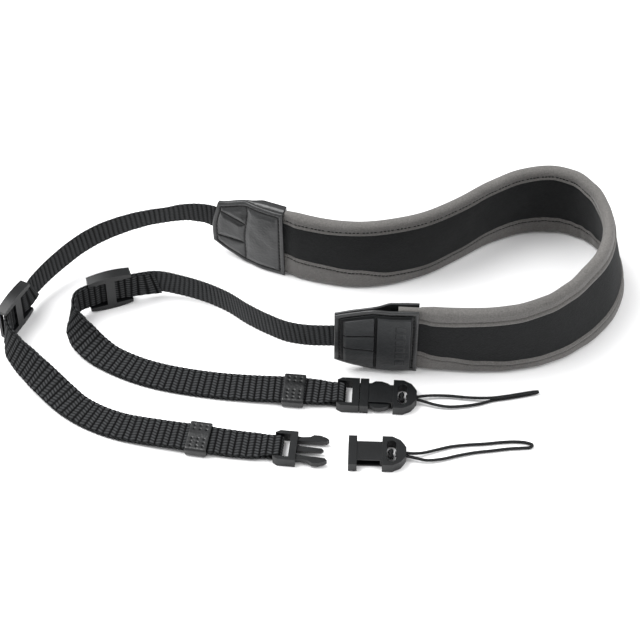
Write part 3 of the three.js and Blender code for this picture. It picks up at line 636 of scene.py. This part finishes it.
BACK_ROUTE = [
    (-37, 38.0, 20.2, 0, 0, 0, 13), (-42, 40.6, 20.2, 0, 0, 0, 13), (-47, 43.2, 20.2, 0, 0, 0, 13),
    (-53, 44.9, 20, 6, 0, 0.3, 13), (-60.5, 45.2, 19.5, 11, 0, 0.65, 13),
    (-67.5, 44.2, 19, 14, 0, 0.65, 13), (-75, 43.1, 18.5, 13, 0, 0.65, 13),
    (-82.5, 41.6, 17.5, 10, 0, 0.65, 13), (-89.5, 39.5, 16.5, 7, 0, 0.65, 13),
    (-97, 36.3, 15.4, 4, 0, 0.65, 13), (-104.2, 32.0, 14, 2, 0, 0.65, 13),
    (-111, 26.2, 12.6, 0, 0, 0.65, 13), (-118, 18.8, 11.2, 0, 0, 0.65, 13),
    (-124.2, 10.6, 10.2, 0, 0.2, 0.65, 13), (-127.0, 5.0, 10, 0, 0.55, 0.65, 13),
    (-130.9, -2.6, 10, 0, -0.55, 0.65, 13), (-134.1, -10.2, 10, 0, 0.9, 0.65, 13),
    (-133.4, -16.2, 9.2, 10, 0.6, 0.65, 13), (-129.6, -22.4, 7.7, 26, 0, 0.65, 13),
    (-122.6, -30.0, 6.1, 42, 0, 0.65, 13), (-115.4, -37.2, 4.7, 60, 0, 0.65, 13),
    (-109, -43.2, 3.0, 78, 0, 0.65, 13), (-102, -49.0, 1.7, 90, 0, 0.65, 13),
    (-93, -54.4, 1.25, 90, 0, 0.65, 13), (-82.5, -58.8, 1.5, 90, 0, 0.65, 13),
    (-68, -62.4, 2.2, 90, 0, 0.65, 13), (-51, -65.6, 2.6, 90, 0, 0.65, 13),
    (-38, -67.6, 1.9, 90, 0, 0.65, 13), (-28, -69.0, 2.0, 90, 0, 0.65, 12.6),
    (-21.6, -69.8, 2.4, 90, 0, 1.3, 10.4), (-17.3, -70.27, 2.4, 90, 0, 1.75, 10.0),
]


def ribs(s, w):
    """Inner face: ribs across the webbing, each a row of small loops."""
    rib = np.abs(np.cos(np.pi * s / 2.15 + 0.12 * np.sin(w * 0.5))) ** 0.9
    return rib * (0.8 + 0.2 * np.cos(2 * np.pi * w / 1.4 + np.pi * np.floor(s / 2.15)))


def floats(s, w):
    """Outer face: rows across the webbing, each a stack of short floats that lean by turns."""
    row = np.floor(s / 2.7)
    x = s / 2.7 - row - 0.5
    lean = 0.6 if row % 2 else -0.6
    stack = 0.5 + 0.5 * np.cos(2 * np.pi * (w / 1.4 + lean * x))
    return smooth((0.42 - abs(x)) / 0.2) * (0.08 + 0.92 * stack)


def add_webbing(name, rows, slider_row, tail):
    line, s, c = sample(rows, 0.42, ["tilt", "shift", "half", "width"])
    t, v, n = frames(line, c["tilt"], 1)
    slider = int(np.argmin(np.linalg.norm(line - np.array(rows[slider_row][:3]), axis=1)))
    first = int(np.argmax(s > s[slider] - tail))
    # out on the outer side, round the bar, back on the inner side: middles, across and face normals
    centre = [line + (c["shift"] - c["half"])[:, None] * n]
    across, towards, width = [v], [n], [c["width"]]
    a = np.radians(np.arange(-80, 81, 8.0))[:, None]
    radial = np.cos(a) * t[-1] + np.sin(a) * n[-1]
    centre.append(line[-1] + c["shift"][-1] * n[-1] + radial * c["half"][-1])
    across.append(np.repeat(v[-1:], len(a), axis=0))
    towards.append(-radial)
    width.append(np.full(len(a), c["width"][-1]))
    back = slice(None, first - 1 if first else None, -1)
    centre.append((line + (c["shift"] + c["half"])[:, None] * n)[back])
    across.append(v[back])
    towards.append(-n[back])
    width.append(c["width"][back])
    centre, across, towards = (np.vstack(x) for x in (centre, across, towards))
    width = np.concatenate(width)
    run = np.concatenate([[0], np.cumsum(np.linalg.norm(np.diff(centre, axis=0), axis=1))])
    # the free end is cut on a slant, its lower edge the longer one
    tail_pull = smooth(1 - (run[-1] - run) / 9.0)
    rings, shade_reliefs = [], []
    columns = np.linspace(-1, 1, 41)
    for i in range(len(run)):
        half_width = width[i] / 2 - 0.14 + 0.22 * abs(math.cos(math.pi * run[i] / 2.15))
        w = columns * half_width
        edge = smooth((1 - np.abs(columns)) * 9 + 0.25)
        outer, inner = floats(run[i], w), ribs(run[i], w)
        base = WEB_THICK / 2 - 0.22
        wear = smooth((run[i]) / 2.0) * smooth((run[-1] - run[i]) / 1.5)
        high = base * (0.55 + 0.45 * edge)
        outer_n = -(high + 0.28 * outer * wear * edge)
        inner_n = high + 0.28 * inner * wear * edge
        points = np.vstack([np.column_stack([w, outer_n]), np.column_stack([w[::-1], inner_n[::-1]])])
        pull = -t[first] * (4.5 * tail_pull[i] * (1 - points[:, :1] / half_width) / 2)
        rings.append(centre[i] + points[:, :1] * across[i] + points[:, 1:] * towards[i]
                     + (pull if i > len(run) // 2 else 0))
        # painted shade between the yarns, taken from the same float and rib pattern as the surface
        shade_reliefs.append(np.concatenate([outer, inner[::-1]]) * 0.9 + 0.1)
    obj = tube_of_rings(f"{name}_weave", rings, "webbing", [name], relief_and_shade=shade_reliefs)
    return run[-1]


front_length = add_webbing("webbing_front", FRONT_ROUTE, 12, 19)
back_length = add_webbing("webbing_back", BACK_ROUTE, 15, 12)
print("webbing lengths, mm:", round(front_length, 1), round(back_length, 1), "band", round(BAND_LENGTH, 1))


# ---------------------------------------------------------------- hard pieces
def moulded(node, name, look, bevel):
    """A moulded copy of a CAD node: flat faces joined again, edges rounded."""
    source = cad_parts[node]
    mesh = source.data.copy()
    mesh.transform(source.matrix_world)
    mesh.materials.clear()
    mesh.materials.append(LOOKS[look])
    work = bmesh.new()
    work.from_mesh(mesh)
    bmesh.ops.remove_doubles(work, verts=work.verts, dist=2e-6)
    bmesh.ops.dissolve_limit(work, angle_limit=math.radians(2), verts=work.verts, edges=work.edges)
    edges = [e for e in work.edges if len(e.link_faces) == 2 and e.calc_face_angle() > math.radians(32)]
    bmesh.ops.bevel(work, geom=edges, offset=bevel * MM, segments=3, profile=0.5, affect="EDGES",
                    clamp_overlap=True)
    bmesh.ops.triangulate(work, faces=[f for f in work.faces if len(f.verts) > 4])
    work.to_mesh(mesh)
    work.free()
    mesh.name = name
    obj = bpy.data.objects.new(name, mesh)
    scene.collection.objects.link(obj)
    mesh.polygons.foreach_set("use_smooth", [True] * len(mesh.polygons))
    mesh.set_sharp_from_angle(angle=math.radians(35))
    weighted = obj.modifiers.new("weighted_normals", "WEIGHTED_NORMAL")
    weighted.keep_sharp = True
    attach(obj, "root")
    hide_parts(node)
    return obj


for node in ("clip_front_socket", "clip_front_plug", "clip_back_socket", "clip_back_plug",
             "slider_front", "slider_back"):
    moulded(node, f"{node}_moulded", "plastic", 0.28)

# ---------------------------------------------------------------- keepers
KEEPER_LENGTH, KEEPER_WALL = 9.0, 0.9
HOLES = [(x, row) for row in (-5.4, -3.5, -1.6, 3.3, 5.2) for x in (-2.6, 0.0, 2.6)]


def add_keeper(name, node):
    low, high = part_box(node)
    centre = (np.array(low) + np.array(high)) / 2 / MM + MIDDLE
    route = FRONT_ROUTE if name == "front" else BACK_ROUTE
    line, _, c = sample(route, 0.5, ["tilt", "shift", "half", "width"])
    flat = c["tilt"] > 80
    i = np.flatnonzero(flat)[np.argmin(np.abs(line[flat][:, 0] - centre[0]))]
    t, v, n = (a[i] for a in frames(line, c["tilt"], 1))
    t = unit(np.array([t[0], t[1], 0.0]))
    side = np.array([-t[1], t[0], 0.0])
    up = np.array([0, 0, 1.0])
    w = WEB_WIDTH / 2 + GAP + KEEPER_WALL
    h = 0.65 + WEB_THICK / 2 + GAP + KEEPER_WALL
    middle = np.array([centre[0], centre[1], h])

    def outline(w, h, r, count):
        corners = [(w - r, h - r, 0), (-w + r, h - r, 90), (-w + r, -h + r, 180), (w - r, -h + r, 270)]
        points = []
        for x, y, start in corners:
            for k in range(6):
                a = math.radians(start + 18 * k)
                points.append((x + r * math.cos(a), y + r * math.sin(a)))
        points = np.array(points + points[:1])
        run = np.concatenate([[0], np.cumsum(np.linalg.norm(np.diff(points, axis=0), axis=1))])
        s = np.linspace(0, run[-1], count, endpoint=False)
        return np.column_stack([np.interp(s, run, points[:, k]) for k in range(2)])

    count = 170
    outer, inner = outline(w, h, 1.3, count), outline(w - KEEPER_WALL, h - KEEPER_WALL, 0.5, count)
    rings, shade_reliefs = [], []
    for x in np.linspace(-KEEPER_LENGTH / 2, KEEPER_LENGTH / 2, 46):
        edge = smooth((KEEPER_LENGTH / 2 - abs(x)) / 0.5)
        ring = outer.copy()
        dent = np.zeros(count)
        for hx, hy in HOLES:
            dent += hump(np.hypot(x - hx, ring[:, 0] - hy), 0.4) * (ring[:, 1] > 0)
        ring[:, 1] += (0.12 * hump(ring[:, 0] - 1.0, 1.6) * edge - 0.4 * dent) * (ring[:, 1] > 0)
        # painted shade: the colour is darker in the dimples
        shade_reliefs.append(0.7 - 0.7 * np.minimum(dent, 1))
        ring *= 1 - 0.03 * (1 - edge)
        rings.append(middle + t * x + ring[:, :1] * side + ring[:, 1:] * up)
    for x in np.linspace(KEEPER_LENGTH / 2 - 0.05, -KEEPER_LENGTH / 2 + 0.05, 12):
        rings.append(middle + t * x + inner[:, :1] * side + inner[:, 1:] * up)
        shade_reliefs.append(np.full(count, 0.7))
    rings = np.array(rings)
    total = len(rings)
    index = np.arange(total * count).reshape(total, count)
    nxt = np.roll(index, -1, axis=0)
    quads = np.stack([index, np.roll(index, -1, 1), np.roll(nxt, -1, 1), nxt], -1).reshape(-1, 4)
    flat_points = place(rings.reshape(-1, 3))
    p = flat_points[quads]
    volume = np.einsum("ij,ij->i", p.mean(1), np.cross(p[:, 2] - p[:, 0], p[:, 3] - p[:, 1])).sum()
    faces = quads.tolist() if volume > 0 else [q[::-1] for q in quads.tolist()]
    make_object(f"keeper_{name}_sleeve", flat_points, faces, "leather", [node],
                relief_and_shade=np.concatenate(shade_reliefs))


add_keeper("front", "keeper_front")
add_keeper("back", "keeper_back")

# ---------------------------------------------------------------- floor and light
def floor():
    mesh = bpy.data.meshes.new("floor")
    size = 6.0
    mesh.from_pydata([(-size, -size, 0), (size, -size, 0), (size, size, 0), (-size, size, 0)], [], [(0, 1, 2, 3)])
    m = Nodes("floor_paper")
    m.set(Roughness=0.9, Specular_IOR_Level=0.1)
    m.shader.inputs["Base Color"].default_value = (0.93, 0.93, 0.935, 1)
    mesh.materials.append(m.material)
    obj = bpy.data.objects.new("floor", mesh)
    obj.location.z = -0.0002
    scene.collection.objects.link(obj)


def area_light(name, location, target, size, power, colour=(1, 1, 1)):
    data = bpy.data.lights.new(name, "AREA")
    data.shape = "DISK"
    data.size, data.energy, data.color = size, power, colour
    obj = bpy.data.objects.new(name, data)
    obj.location = location
    obj.rotation_euler = (Vector(target) - Vector(location)).to_track_quat("-Z", "Y").to_euler()
    scene.collection.objects.link(obj)


floor()
area_light("key", (-0.75, 0.25, 1.3), (0, 0, 0), 1.2, 33)
area_light("fill", (0.9, -0.2, 1.2), (0, 0, 0), 1.2, 9)
world = bpy.data.worlds.new("studio")
world.use_nodes = True
world.node_tree.nodes["Background"].inputs[0].default_value = (1, 1, 1, 1)
world.node_tree.nodes["Background"].inputs[1].default_value = 0.7
scene.world = world
